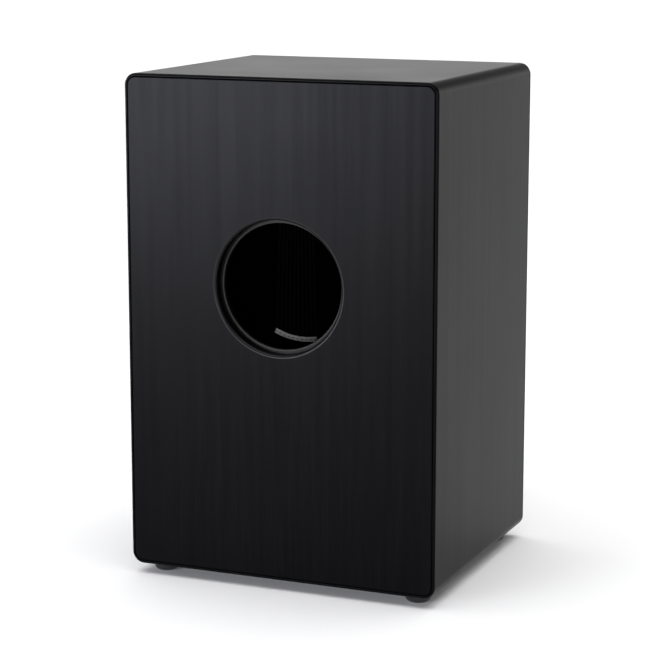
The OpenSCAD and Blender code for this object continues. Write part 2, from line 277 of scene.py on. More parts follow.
def skin(bm, rings, around=True, loop=False):
    """Faces between each ring of points and the next; loop also joins the last to the first."""
    made = [[bm.verts.new(p) for p in ring] for ring in rings]
    pairs = list(zip(made, made[1:]))
    if loop:
        pairs.append((made[-1], made[0]))
    for lower, upper in pairs:
        count = len(lower)
        for i in range(count if around else count - 1):
            j = (i + 1) % count
            bm.faces.new((lower[i], lower[j], upper[j], upper[i]))
    return made


def side_line(quarter, half_w, half_h, r, corner_steps, side_steps):
    """One side of a rounded rectangle, from the middle of a corner to the middle of the next.

    Each place is a point on the line of corner centres, and the direction outward from it.
    """
    out = Matrix.Rotation(math.pi / 2 * quarter, 2) @ Vector((1, 0))
    along = Vector((-out.y, out.x))
    reach, span = (half_w, half_h) if quarter % 2 == 0 else (half_h, half_w)
    reach, span = reach - r, span - r
    line = []
    for i in range(corner_steps):
        turn = math.pi / 4 * (i / corner_steps - 1)
        line.append((out * reach - along * span, Matrix.Rotation(turn, 2) @ out))
    stops = [-span, HOLD - span] + [span * (2 * i / side_steps - 1) for i in range(1, side_steps)]
    for s in stops + [span - HOLD, span]:
        line.append((out * reach + along * s, out))
    for i in range(1, corner_steps + 1):
        turn = math.pi / 4 * i / corner_steps
        line.append((out * reach + along * span, Matrix.Rotation(turn, 2) @ out))
    return line


def on_line(place, r, inset, y, half_w, half_h):
    """The point of a rounded outline at one place, moved inward, at depth y."""
    centre, out = place
    x, z = centre + out * (r - inset)
    x = max(inset - half_w, min(half_w - inset, x))
    z = max(inset - half_h, min(half_h - inset, z))
    return Vector((x, y, MID_Z + z))


def quarter_round(inset, y, r, steps, toward_rear=True):
    """(inset, y) pairs round a rounded edge whose flat faces meet at (inset, y)."""
    sign = 1 if toward_rear else -1
    angles = [math.pi / 2 * i / steps for i in range(steps + 1)]
    return [(inset + r - r * math.cos(a), y - sign * (r - r * math.sin(a))) for a in angles]


wall_section = (
    [(WALL_T, WALL_FRONT), (0.0, WALL_FRONT), (0.0, WALL_FRONT + HOLD), (0.0, REAR - RIM_R - HOLD)]
    + quarter_round(0.0, REAR, RIM_R, 8)
    + [(REAR_LIP - LIP_EASE, REAR), (REAR_LIP, REAR - LIP_EASE)]
    + [(REAR_LIP, REAR - REBATE), (WALL_T, REAR - REBATE)]
)

walls = [
    (0, "left_wall", "left_side_panel", lacquer_up),
    (1, "seat_wall", "seat_panel", lacquer_across),
    (2, "right_wall", "right_side_panel", lacquer_up),
    (3, "bottom_wall", "bottom_panel", lacquer_across),
]
for quarter, name, node, lacquer in walls:
    bm = bmesh.new()
    rings = [
        [on_line(place, CORNER_R, inset, y, HALF_W, HALF_H) for inset, y in wall_section]
        for place in side_line(quarter, HALF_W, HALF_H, CORNER_R, 10, 6)
    ]
    made = skin(bm, rings)
    bm.faces.new(made[0])
    bm.faces.new(made[-1])
    # Faces inside the box take the near-black inside coat, partly painted shade.
    for face in bm.faces:
        c = face.calc_center_median()
        inside = abs(c.x) < HALF_W - WALL_T + HOLD and abs(c.z - MID_Z) < HALF_H - WALL_T + HOLD
        face.material_index = 1 if inside else 0
    wall = piece(name, bm, lacquer, inside_black_painted_shade)
    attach(wall, "box")
    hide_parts(node)


# ==== Glue blocks ===============================================================================
# Triangular spruce strips glued into the four long corners, which keep the mitred joints square.
# Sawn, planed on their open face, and oversprayed with the black of the inside.

spruce = finish_coat("oversprayed_spruce", (0.01, 0.008, 0.006), 0.75, specular=0.2)
spruce_rings = pattern(spruce, 420.0, (1.0, 0.02, 1.0), detail=3.0, distortion=0.5)
spruce_overspray = pattern(spruce, 24.0, (1.0, 0.4, 1.0), detail=4.0)
tint(spruce, spruce_overspray, [(0.004, 0.004, 0.004), (0.010, 0.008, 0.006), (0.030, 0.021, 0.013)])
vary_gloss(spruce, spruce_rings, 0.68, 0.85)
relief(spruce, (spruce_rings, 0.08 * MM))

BLOCK_EASE = 0.8 * MM
for height in ("top", "bottom"):
    for side in ("left", "right"):
        node = f"glue_block_{height}_{side}"
        lo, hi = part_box(node)
        corner = Vector((hi.x if side == "left" else lo.x, 0, hi.z if height == "top" else lo.z))
        legs = [
            corner,
            corner + Vector((lo.x + hi.x - 2 * corner.x, 0, 0)),
            corner + Vector((0, 0, lo.z + hi.z - 2 * corner.z)),
        ]
        bm = bmesh.new()
        made = skin(bm, [[p + Vector((0, y, 0)) for p in legs] for y in (lo.y, hi.y)])
        for ring in made:
            bm.faces.new(ring)
        bmesh.ops.bevel(
            bm, geom=bm.edges[:], offset=BLOCK_EASE, offset_type="WIDTH",
            segments=3, profile=0.5, affect="EDGES",
        )
        block = piece(f"corner_strip_{height}_{side}", bm, spruce)
        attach(block, "box")
        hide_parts(node)


# ==== Rear panel ================================================================================
# 9 mm plywood let flush into the rebate of the box, with a fine gap left all round. The sound hole is
# cut in its upper half, rounded over and rubbed smooth. Satin black like the box, the grain upright.

PANEL_HALF_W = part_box("rear_panel")[1].x
PANEL_HALF_H = (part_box("rear_panel")[1].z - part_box("rear_panel")[0].z) / 2
PANEL_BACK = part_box("rear_panel")[0].y
PANEL_R = CORNER_R - (HALF_W - PANEL_HALF_W)
PANEL_EDGE_R = 1 * MM
HOLE_R = 60.5 * MM
HOLE_ROUND = 3 * MM
HOLE_Z = (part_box("sound_hole_ring")[0].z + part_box("sound_hole_ring")[1].z) / 2

STEPS_UP = 60
STEPS_ACROSS = 44
panel_line = []
for quarter in range(4):
    steps = STEPS_UP if quarter % 2 == 0 else STEPS_ACROSS
    panel_line += side_line(quarter, PANEL_HALF_W, PANEL_HALF_H, PANEL_R, 8, steps)[:-1]

rubbed_edge = finish_coat("satin_black_rubbed_edge", (0.001, 0.001, 0.0012), 0.4, specular=0.18)
edge_clouds = pattern(rubbed_edge, 120.0, detail=3.0)
tint(rubbed_edge, edge_clouds, [(0.0006, 0.0006, 0.0008), (0.0016, 0.0016, 0.0018)])
vary_gloss(rubbed_edge, edge_clouds, 0.37, 0.43)
relief(rubbed_edge, (pattern(rubbed_edge, 620.0, detail=1.0), 0.005 * MM))


def hole_ring(radius, y):
    """The points of the hole, each in line with the panel's outline as seen from the hole's middle."""
    ring = []
    for place in panel_line:
        p = on_line(place, PANEL_R, 0.0, y, PANEL_HALF_W, PANEL_HALF_H)
        out = Vector((p.x, 0, p.z - HOLE_Z)).normalized()
        ring.append(Vector((0, y, HOLE_Z)) + out * radius)
    return ring


panel_edge = (
    [(0.0, PANEL_BACK), (0.0, REAR - PANEL_EDGE_R - HOLD)]
    + quarter_round(0.0, REAR, PANEL_EDGE_R, 6)
    + [(PANEL_EDGE_R + HOLD, REAR)]
)
hole_edge = [
    (HOLE_R + inset, y) for inset, y in reversed(quarter_round(0.0, REAR, HOLE_ROUND, 10))
]
rings = [
    [on_line(place, PANEL_R, inset, y, PANEL_HALF_W, PANEL_HALF_H) for place in panel_line]
    for inset, y in panel_edge
]
rings.append(hole_ring(HOLE_R + HOLE_ROUND + HOLD, REAR))
rings += [hole_ring(radius, y) for radius, y in hole_edge]
rings += [hole_ring(HOLE_R, REAR - HOLE_ROUND - HOLD), hole_ring(HOLE_R, PANEL_BACK)]
bm = bmesh.new()
skin(bm, rings, loop=True)
for face in bm.faces:
    c = face.calc_center_median()
    from_axis = math.hypot(c.x, c.z - HOLE_Z)
    # The back of the panel takes the near-black inside coat, partly painted shade.
    if c.y < PANEL_BACK + HOLD / 4:
        face.material_index = 1
    elif from_axis < HOLE_R + HOLE_ROUND and c.y > REAR - HOLE_ROUND:
        face.material_index = 2
rear_board = piece("rear_board", bm, lacquer_up, inside_black_painted_shade, rubbed_edge)
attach(rear_board, "box")
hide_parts("rear_panel")


# ==== Sound hole ring ===========================================================================
# A flat ring glued to the inner face of the rear panel to stiffen the sound hole. Its bore is a little
# smaller, so its eased edge shows. Black, rubbed to a hint of brown wood on that edge.

RING_BORE_R = 57 * MM
RING_OUTER_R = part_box("sound_hole_ring")[1].x
RING_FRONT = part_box("sound_hole_ring")[0].y
RING_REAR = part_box("sound_hole_ring")[1].y
RING_EASE = 1.2 * MM


def turned(bm, outline, steps, place=Matrix.Identity(4), loop=False):
    """A turned shape: the (radius, height) outline goes once round the axis, then is put in place."""
    angles = [2 * math.pi * i / steps for i in range(steps)]
    rings = [
        [place @ Vector((r * math.cos(a), r * math.sin(a), h)) for a in angles]
        for r, h in outline
    ]
    return skin(bm, rings, loop=loop)


ring_black = finish_coat("ring_black", (0.002, 0.002, 0.002), 0.42, specular=0.14)
rubbed = pattern(ring_black, 130.0, detail=4.0)
tint(ring_black, rubbed, [(0.0014, 0.0014, 0.0016), (0.0026, 0.0025, 0.0024)])
vary_gloss(ring_black, rubbed, 0.38, 0.5)
relief(ring_black, (pattern(ring_black, 900.0), 0.01 * MM))

ring_edge_brown = finish_coat("ring_edge_brown", (0.01, 0.007, 0.006), 0.5, specular=0.3)
edge_wear = pattern(ring_edge_brown, 210.0, detail=4.0)
tint(ring_edge_brown, edge_wear, [(0.004, 0.004, 0.004), (0.008, 0.006, 0.005), (0.016, 0.011, 0.008)])
vary_gloss(ring_edge_brown, edge_wear, 0.42, 0.6)
relief(ring_edge_brown, (edge_wear, 0.05 * MM))

ease = [
    (RING_BORE_R + RING_EASE * (1 - math.cos(a)), RING_REAR - RING_EASE * (1 - math.sin(a)))
    for a in [math.pi / 2 * i / 6 for i in range(7)]
]
ring_section = (
    [(RING_BORE_R, RING_FRONT), (RING_BORE_R, RING_REAR - RING_EASE - HOLD)]
    + ease
    + [(RING_BORE_R + RING_EASE + HOLD, RING_REAR), (RING_OUTER_R, RING_REAR), (RING_OUTER_R, RING_FRONT)]
)
bm = bmesh.new()
inside_hole = Matrix.Translation((0, 0, HOLE_Z)) @ Matrix.Rotation(-math.pi / 2, 4, "X")
turned(bm, ring_section, 160, inside_hole, loop=True)
for face in bm.faces:
    c = face.calc_center_median()
    from_axis = math.hypot(c.x, c.z - HOLE_Z)
    on_ease = from_axis < RING_BORE_R + RING_EASE and c.y > RING_REAR - RING_EASE
    face.material_index = 1 if on_ease else 0
hole_stiffener = piece("hole_stiffener", bm, ring_black, ring_edge_brown)
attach(hole_stiffener, "box")
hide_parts("sound_hole_ring")


# ==== Snare bar and its blocks ==================================================================
# A square beech bar that carries the snares. Its round ends turn in two beech blocks, each held to a
# side panel by two countersunk zinc screws. Sanded, with its long edges eased.

beech = finish_coat("sanded_beech", (0.30, 0.19, 0.11), 0.6, specular=0.35)
beech_grain = pattern(beech, 500.0, (0.03, 1.0, 1.0), detail=3.0, distortion=0.4)
beech_flecks = pattern(beech, 1500.0, (0.25, 1.0, 1.0), detail=1.0)
tint(beech, beech_grain, [(0.21, 0.125, 0.07), (0.30, 0.19, 0.11), (0.37, 0.245, 0.15)])
vary_gloss(beech, beech_flecks, 0.5, 0.7)
relief(beech, (beech_grain, 0.04 * MM), (beech_flecks, 0.015 * MM))

BAR_LO, BAR_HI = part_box("snare_bar")
BAR_Y = (BAR_LO.y + BAR_HI.y) / 2
BAR_Z = (BAR_LO.z + BAR_HI.z) / 2
BAR_HALF = (BAR_HI.z - BAR_LO.z) / 2
BAR_END_PLAY = 0.5 * MM
BAR_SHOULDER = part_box("bar_block_left")[0].x - BAR_END_PLAY
TENON_R = 5 * MM
TENON_CHAMFER = 0.9 * MM
SHOULDER_CHAMFER = 0.5 * MM
BAR_EASE = 1.2 * MM
BAR_POINTS = 48


def bar_ring(x, half, r, inset):
    """A rounded square round the bar's axis; half equal to r makes it a circle."""
    ring = []
    for i in range(BAR_POINTS):
        a = 2 * math.pi * (i + 0.5) / BAR_POINTS
        y, z = math.cos(a), math.sin(a)
        flat = half - r
        reach = max(abs(y), abs(z))
        p = Vector((y, z)) * (half / reach)
        core = Vector((max(-flat, min(flat, p.x)), max(-flat, min(flat, p.y))))
        out = (p - core).normalized()
        p = core + out * (r - inset)
        ring.append(Vector((x, BAR_Y + p.x, BAR_Z + p.y)))
    return ring


bar_rings = []
for sign in (-1, 1):
    end = [
        bar_ring(sign * BAR_HI.x, TENON_R, TENON_R, TENON_CHAMFER),
        bar_ring(sign * (BAR_HI.x - TENON_CHAMFER), TENON_R, TENON_R, 0.0),
        bar_ring(sign * BAR_SHOULDER, TENON_R, TENON_R, 0.0),
        bar_ring(sign * BAR_SHOULDER, BAR_HALF, BAR_EASE, SHOULDER_CHAMFER),
        bar_ring(sign * (BAR_SHOULDER - SHOULDER_CHAMFER), BAR_HALF, BAR_EASE, 0.0),
    ]
    bar_rings += end if sign < 0 else reversed(end)
bm = bmesh.new()
made = skin(bm, bar_rings)
bm.faces.new(made[0])
bm.faces.new(made[-1])
carrier_bar = piece("carrier_bar", bm, beech)
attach(carrier_bar, "snare_set")
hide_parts("snare_bar")

for node in ("bar_block_left", "bar_block_right"):
    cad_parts[node].material_slots[0].material = beech


# ==== Screws ====================================================================================
# Wood screws: a turned head with a cross recess, a plain neck, and a thread that dies out at the
# point. Zinc plated inside and under the feet, black oxide on the front plate.

zinc = finish_coat("bright_zinc", (0.58, 0.59, 0.61), 0.34, metallic=1.0)
zinc_spangle = pattern(zinc, 480.0, detail=3.0)
tint(zinc, zinc_spangle, [(0.48, 0.49, 0.51), (0.60, 0.61, 0.63)])
vary_gloss(zinc, zinc_spangle, 0.28, 0.44)
relief(zinc, (pattern(zinc, 2600.0), 0.004 * MM))

black_oxide = finish_coat("black_oxide", (0.03, 0.03, 0.032), 0.42, metallic=0.9)
oxide_bloom = pattern(black_oxide, 900.0, detail=3.0)
tint(black_oxide, oxide_bloom, [(0.02, 0.02, 0.022), (0.045, 0.045, 0.05)])
vary_gloss(black_oxide, oxide_bloom, 0.34, 0.5)
relief(black_oxide, (oxide_bloom, 0.006 * MM))


def cross_recess(half_length, half_width, depth):
    """A tapered cross that a boolean cuts from a screw head; it points along +Z from above the head."""
    quarter = [
        Vector((half_width, half_width)),
        Vector((half_width, half_length)),
        Vector((-half_width, half_length)),
    ]
    outline = [Matrix.Rotation(math.pi / 2 * turn, 2) @ p for turn in range(4) for p in quarter]
    bm = bmesh.new()
    rings = [
        [Vector((p.x * size, p.y * size, h)) for p in outline]
        for h, size in ((-0.5 * MM, 1.1), (depth, 0.5))
    ]
    made = skin(bm, rings)
    bm.faces.new(made[0])
    bm.faces.new(made[-1])
    return piece("recess_cutter", bm)


def wood_screw(head, crest_r, length, recess):
    """One screw with the top of its head at the origin and its point along +Z.

    The head is an outline; the recess is the cross's half length, half width and depth.
    """
    steps = 20
    pitch = 1.9 * MM
    thread_depth = 0.28 * crest_r
    neck_end = head[-1][1] + 0.22 * length
    tip_start = length - 2.2 * crest_r
    rings = [[(r, h)] * steps for r, h in head]
    h = neck_end
    while h < length - 0.15 * crest_r:
        taper = min(1.0, max(0.08, (length - h) / (length - tip_start)))
        ring = []
        for i in range(steps):
            wave = abs(2 * ((h / pitch - i / steps) % 1.0) - 1)
            rise = thread_depth * max(0.0, 1 - 2.2 * wave) * min(1.0, (h - neck_end) / pitch)
            ring.append(((crest_r - thread_depth + rise) * taper, h))
        rings.append(ring)
        h += pitch / 6
    rings.append([(0.0, length)] * steps)
    bm = bmesh.new()
    skin(bm, [
        [
            Vector((r * math.cos(2 * math.pi * i / steps), r * math.sin(2 * math.pi * i / steps), h))
            for i, (r, h) in enumerate(ring)
        ]
        for ring in rings
    ])
    screw = piece("screw_pattern", bm)
    cutter = cross_recess(*recess)
    cut = screw.modifiers.new("recess", "BOOLEAN")
    cut.operation = "DIFFERENCE"
    cut.object = cutter
    graph = bpy.context.evaluated_depsgraph_get()
    mesh = bpy.data.meshes.new_from_object(screw.evaluated_get(graph))
    screw.modifiers.clear()
    screw.data = mesh
    mesh.set_sharp_from_angle(angle=math.radians(40))
    bpy.data.objects.remove(cutter)
    return screw


def countersunk(head_r, neck_r, depth):
    """Outline of a countersunk head, from the middle of its top to its neck."""
    ease = 0.15 * MM
    rim = 0.4 * MM
    return [(0.0, 0.0), (head_r - ease, 0.0), (head_r, ease), (head_r, rim), (neck_r, depth)]


def pan_head(head_r, neck_r, depth):
    """Outline of a domed head, from the middle of its top to its neck."""
    ease = 0.1 * MM
    dome = [
        (head_r * math.sin(a), 0.55 * depth * (1 - math.cos(a)))
        for a in [math.pi / 2 * i / 6 for i in range(7)]
    ]
    return dome + [(head_r, depth - ease), (head_r - ease, depth), (neck_r, depth)]


# The tree sets one pattern piece at each point, turned to the point's aim, and by chance about it.
setting = bpy.data.node_groups.new("set_at_points", "GeometryNodeTree")
sockets = setting.interface
sockets.new_socket("Points", in_out="INPUT", socket_type="NodeSocketGeometry")
sockets.new_socket("Pattern Piece", in_out="INPUT", socket_type="NodeSocketObject")
sockets.new_socket("Most Turn", in_out="INPUT", socket_type="NodeSocketFloat")
sockets.new_socket("Seed", in_out="INPUT", socket_type="NodeSocketInt")
sockets.new_socket("Finish", in_out="INPUT", socket_type="NodeSocketMaterial")
sockets.new_socket("Pieces", in_out="OUTPUT", socket_type="NodeSocketGeometry")
given = setting.nodes.new("NodeGroupInput")
result = setting.nodes.new("NodeGroupOutput")
aim_value = setting.nodes.new("GeometryNodeInputNamedAttribute")
aim_value.data_type = "FLOAT_VECTOR"
aim_value.inputs["Name"].default_value = "aim"
align = setting.nodes.new("FunctionNodeAlignRotationToVector")
align.axis = "Z"
chance = setting.nodes.new("FunctionNodeRandomValue")
chance.data_type = "FLOAT"
own_turn = setting.nodes.new("ShaderNodeCombineXYZ")
own_rotation = setting.nodes.new("FunctionNodeEulerToRotation")
both = setting.nodes.new("FunctionNodeRotateRotation")
both.rotation_space = "LOCAL"
source = setting.nodes.new("GeometryNodeObjectInfo")
instances = setting.nodes.new("GeometryNodeInstanceOnPoints")
real = setting.nodes.new("GeometryNodeRealizeInstances")
coated = setting.nodes.new("GeometryNodeSetMaterial")
join = setting.links.new
join(aim_value.outputs["Attribute"], align.inputs["Vector"])
join(given.outputs["Most Turn"], chance.inputs[3])
join(given.outputs["Seed"], chance.inputs["Seed"])
join(chance.outputs[1], own_turn.inputs["Z"])
join(own_turn.outputs["Vector"], own_rotation.inputs["Euler"])
join(align.outputs["Rotation"], both.inputs["Rotation"])
join(own_rotation.outputs["Rotation"], both.inputs["Rotate By"])
join(given.outputs["Pattern Piece"], source.inputs["Object"])
join(given.outputs["Points"], instances.inputs["Points"])
join(source.outputs["Geometry"], instances.inputs["Instance"])
join(both.outputs["Rotation"], instances.inputs["Rotation"])
join(instances.outputs["Instances"], real.inputs["Geometry"])
join(real.outputs["Geometry"], coated.inputs["Geometry"])
join(given.outputs["Finish"], coated.inputs["Material"])
join(coated.outputs["Geometry"], result.inputs["Pieces"])


def grown(name, tree, places, **values):
    """A plain mesh object that a tree grows from places, each a point and its aim."""
    seeds = bpy.data.meshes.new(name + "_places")
    seeds.from_pydata([point for point, _ in places], [], [])
    aims = seeds.attributes.new("aim", "FLOAT_VECTOR", "POINT")
    aims.data.foreach_set("vector", [c for _, aim in places for c in aim])
    grower = bpy.data.objects.new(name, seeds)
    scene.collection.objects.link(grower)
    modifier = grower.modifiers.new("grow", "NODES")
    modifier.node_group = tree
    for socket in tree.interface.items_tree:
        key = socket.name.lower().replace(" ", "_")
        if socket.in_out == "INPUT" and key in values:
            modifier[socket.identifier] = values[key]
    graph = bpy.context.evaluated_depsgraph_get()
    mesh = bpy.data.meshes.new_from_object(grower.evaluated_get(graph))
    mesh.name = name
    grower.modifiers.clear()
    grower.data = mesh
    bpy.data.meshes.remove(seeds)
    return grower


FULL_TURN = 2 * math.pi
ALONG_Y = Vector((0, 1, 0))
UP = Vector((0, 0, 1))

BLOCK_SCREW_LO, BLOCK_SCREW_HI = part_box("bar_block_screws")
BLOCK_SCREW_Y = (BLOCK_SCREW_LO.y + BLOCK_SCREW_HI.y) / 2
BLOCK_SCREW_HEAD_R = (BLOCK_SCREW_HI.y - BLOCK_SCREW_LO.y) / 2
BLOCK_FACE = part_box("bar_block_left")[0].x
BLOCK_SCREW_RISE = 12 * MM
BLOCK_SCREW_SHANK_R = 1.6 * MM
places = [
    (Vector((sx * BLOCK_FACE, BLOCK_SCREW_Y, BAR_Z + sz * BLOCK_SCREW_RISE)), Vector((sx, 0, 0)))
    for sx in (-1, 1)
    for sz in (-1, 1)
]
screw = wood_screw(
    countersunk(BLOCK_SCREW_HEAD_R, BLOCK_SCREW_SHANK_R, 1.8 * MM), BLOCK_SCREW_SHANK_R,
    BLOCK_SCREW_HI.x - BLOCK_FACE, recess=(1.7 * MM, 0.4 * MM, 1.2 * MM),
)
block_fixings = grown(
    "block_fixings", setting, places, pattern_piece=screw, most_turn=FULL_TURN, seed=3, finish=zinc
)
bpy.data.objects.remove(screw)
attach(block_fixings, "box")
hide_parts("bar_block_screws")


# ==== Snares ====================================================================================
# Two fans of ten coiled steel wires. Each fan is soldered at the top to a clamp plate screwed to the
# bar, and at the bottom to a pale curved strip, behind which the ends of the wires are bent over.

# Near-black wire: partly a blackened finish, partly painted shade, so that the coils stay dark inside the
# box.
wire_black_painted_shade = finish_coat("blackened_spring_wire", (0.004, 0.004, 0.004), 0.6, specular=0.2)
wire_scale = pattern(wire_black_painted_shade, 1400.0, detail=2.0)
tint(wire_black_painted_shade, wire_scale, [(0.002, 0.002, 0.002), (0.006, 0.006, 0.006)])
vary_gloss(wire_black_painted_shade, wire_scale, 0.5, 0.7)
relief(wire_black_painted_shade, (wire_scale, 0.005 * MM))

strip_coat = finish_coat("pale_strip_coat", (0.84, 0.84, 0.83), 0.5)
rolling = pattern(strip_coat, 800.0, (0.04, 1.0, 1.0), detail=3.0)
tint(strip_coat, rolling, [(0.78, 0.78, 0.77), (0.88, 0.88, 0.87)])
vary_gloss(strip_coat, rolling, 0.42, 0.6)
relief(strip_coat, (rolling, 0.006 * MM))

solder = finish_coat("dull_solder", (0.2, 0.2, 0.21), 0.5, metallic=0.8)
solder_frost = pattern(solder, 1600.0, detail=3.0)
tint(solder, solder_frost, [(0.13, 0.13, 0.14), (0.27, 0.27, 0.28)])
vary_gloss(solder, solder_frost, 0.38, 0.62)
relief(solder, (solder_frost, 0.02 * MM))

WIRES = 10
WIRE_R = 1.2 * MM
GAUGE_R = 0.28 * MM
COIL_PITCH = 1.3 * MM
PITCH_TOP = 3 * MM
PITCH_END = 4.8 * MM
STRIP_MIDDLE = 92 * MM
STRIP_LOW_INWARD = 8.5 * MM
STRIP_LOW = STRIP_MIDDLE - STRIP_LOW_INWARD
STRIP_BEND_R = 70 * MM
STRIP_INNER_ANGLE = math.radians(12.5)
STRIP_OUTER_ANGLE = math.radians(26)
STRIP_STEPS = 32
WIRE_Y = (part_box("snare_wires_left")[0].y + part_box("snare_wires_left")[1].y) / 2
WIRE_TOP = BAR_Z - 2 * MM
SOLDER_DROP = 6 * MM
CLAMP_LO, CLAMP_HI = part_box("clamp_plate_left")
CLAMP_X = (CLAMP_LO.x + CLAMP_HI.x) / 2
STRIP_LO, STRIP_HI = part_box("end_strip_left")
STRIP_W = 5 * MM
BEND_Z = STRIP_LO.z + STRIP_W / 2 + STRIP_BEND_R

# The tree winds one wire along +Z, sets one at each point along its aim, and scales it to its length.
winding = bpy.data.node_groups.new("wind_wires", "GeometryNodeTree")
sockets = winding.interface
sockets.new_socket("Points", in_out="INPUT", socket_type="NodeSocketGeometry")
sockets.new_socket("Length", in_out="INPUT", socket_type="NodeSocketFloat")
sockets.new_socket("Turns", in_out="INPUT", socket_type="NodeSocketFloat")
sockets.new_socket("Coil Radius", in_out="INPUT", socket_type="NodeSocketFloat")
sockets.new_socket("Wire Radius", in_out="INPUT", socket_type="NodeSocketFloat")
sockets.new_socket("Finish", in_out="INPUT", socket_type="NodeSocketMaterial")
sockets.new_socket("Wires", in_out="OUTPUT", socket_type="NodeSocketGeometry")
given = winding.nodes.new("NodeGroupInput")
result = winding.nodes.new("NodeGroupOutput")
helix = winding.nodes.new("GeometryNodeCurveSpiral")
helix.inputs["Resolution"].default_value = 9
wire_round = winding.nodes.new("GeometryNodeCurvePrimitiveCircle")
wire_round.inputs["Resolution"].default_value = 4
tube = winding.nodes.new("GeometryNodeCurveToMesh")
tube.inputs["Fill Caps"].default_value = True
aim_value = winding.nodes.new("GeometryNodeInputNamedAttribute")
aim_value.data_type = "FLOAT_VECTOR"
aim_value.inputs["Name"].default_value = "aim"
align = winding.nodes.new("FunctionNodeAlignRotationToVector")
align.axis = "Z"
aim_length = winding.nodes.new("ShaderNodeVectorMath")
aim_length.operation = "LENGTH"
share = winding.nodes.new("ShaderNodeMath")
share.operation = "DIVIDE"
stretched = winding.nodes.new("ShaderNodeCombineXYZ")
stretched.inputs["X"].default_value = 1.0
stretched.inputs["Y"].default_value = 1.0
instances = winding.nodes.new("GeometryNodeInstanceOnPoints")
real = winding.nodes.new("GeometryNodeRealizeInstances")
coated = winding.nodes.new("GeometryNodeSetMaterial")
join = winding.links.new
join(given.outputs["Length"], helix.inputs["Height"])
join(given.outputs["Turns"], helix.inputs["Rotations"])
join(given.outputs["Coil Radius"], helix.inputs["Start Radius"])
join(given.outputs["Coil Radius"], helix.inputs["End Radius"])
join(given.outputs["Wire Radius"], wire_round.inputs["Radius"])
join(helix.outputs["Curve"], tube.inputs["Curve"])
join(wire_round.outputs["Curve"], tube.inputs["Profile Curve"])
join(aim_value.outputs["Attribute"], align.inputs["Vector"])
join(aim_value.outputs["Attribute"], aim_length.inputs[0])
join(aim_length.outputs["Value"], share.inputs[0])
join(given.outputs["Length"], share.inputs[1])
join(share.outputs["Value"], stretched.inputs["Z"])
join(given.outputs["Points"], instances.inputs["Points"])
join(tube.outputs["Mesh"], instances.inputs["Instance"])
join(align.outputs["Rotation"], instances.inputs["Rotation"])
join(stretched.outputs["Vector"], instances.inputs["Scale"])
join(instances.outputs["Instances"], real.inputs["Geometry"])
join(real.outputs["Geometry"], coated.inputs["Geometry"])
join(given.outputs["Finish"], coated.inputs["Material"])
join(coated.outputs["Geometry"], result.inputs["Wires"])


def wire_ends(side, i):
    """Where wire i of one fan leaves the clamp plate, and where it meets the curved strip."""
    spread = i - (WIRES - 1) / 2
    top = Vector((side * CLAMP_X + spread * PITCH_TOP, WIRE_Y, WIRE_TOP))
    x = side * STRIP_MIDDLE + spread * PITCH_END
    off = x - side * STRIP_LOW
    return top, Vector((x, WIRE_Y, BEND_Z - math.sqrt(STRIP_BEND_R ** 2 - off ** 2)))


def drop(width, height, depth):
    """A rounded blob at the origin: its width lies along X, its height along Y and its depth along Z."""
    half_circle = [(math.sin(a) / 2, -math.cos(a) / 2) for a in [math.pi * i / 6 for i in range(7)]]
    bm = bmesh.new()
    turned(bm, half_circle, 10, Matrix.Rotation(math.pi / 10, 4, "Z"))
    bmesh.ops.scale(bm, vec=(width, height, depth), verts=bm.verts)
    return piece("drop_pattern", bm)


def strip_ring(angle, side):
    """The section of the curved strip at one angle from its lowest point, with eased edges."""
    ease = 0.25 * MM
    half = STRIP_W / 2
    section = [
        (-half + ease, STRIP_LO.y), (half - ease, STRIP_LO.y), (half, STRIP_LO.y + ease),
        (half, STRIP_HI.y - ease), (half - ease, STRIP_HI.y), (-half + ease, STRIP_HI.y),
        (-half, STRIP_HI.y - ease), (-half, STRIP_LO.y + ease),
    ]
    middle = Vector((side * STRIP_LOW, 0, BEND_Z))
    out = Vector((side * math.sin(angle), 0, -math.cos(angle)))
    return [middle + out * (STRIP_BEND_R + off) + ALONG_Y * y for off, y in section]


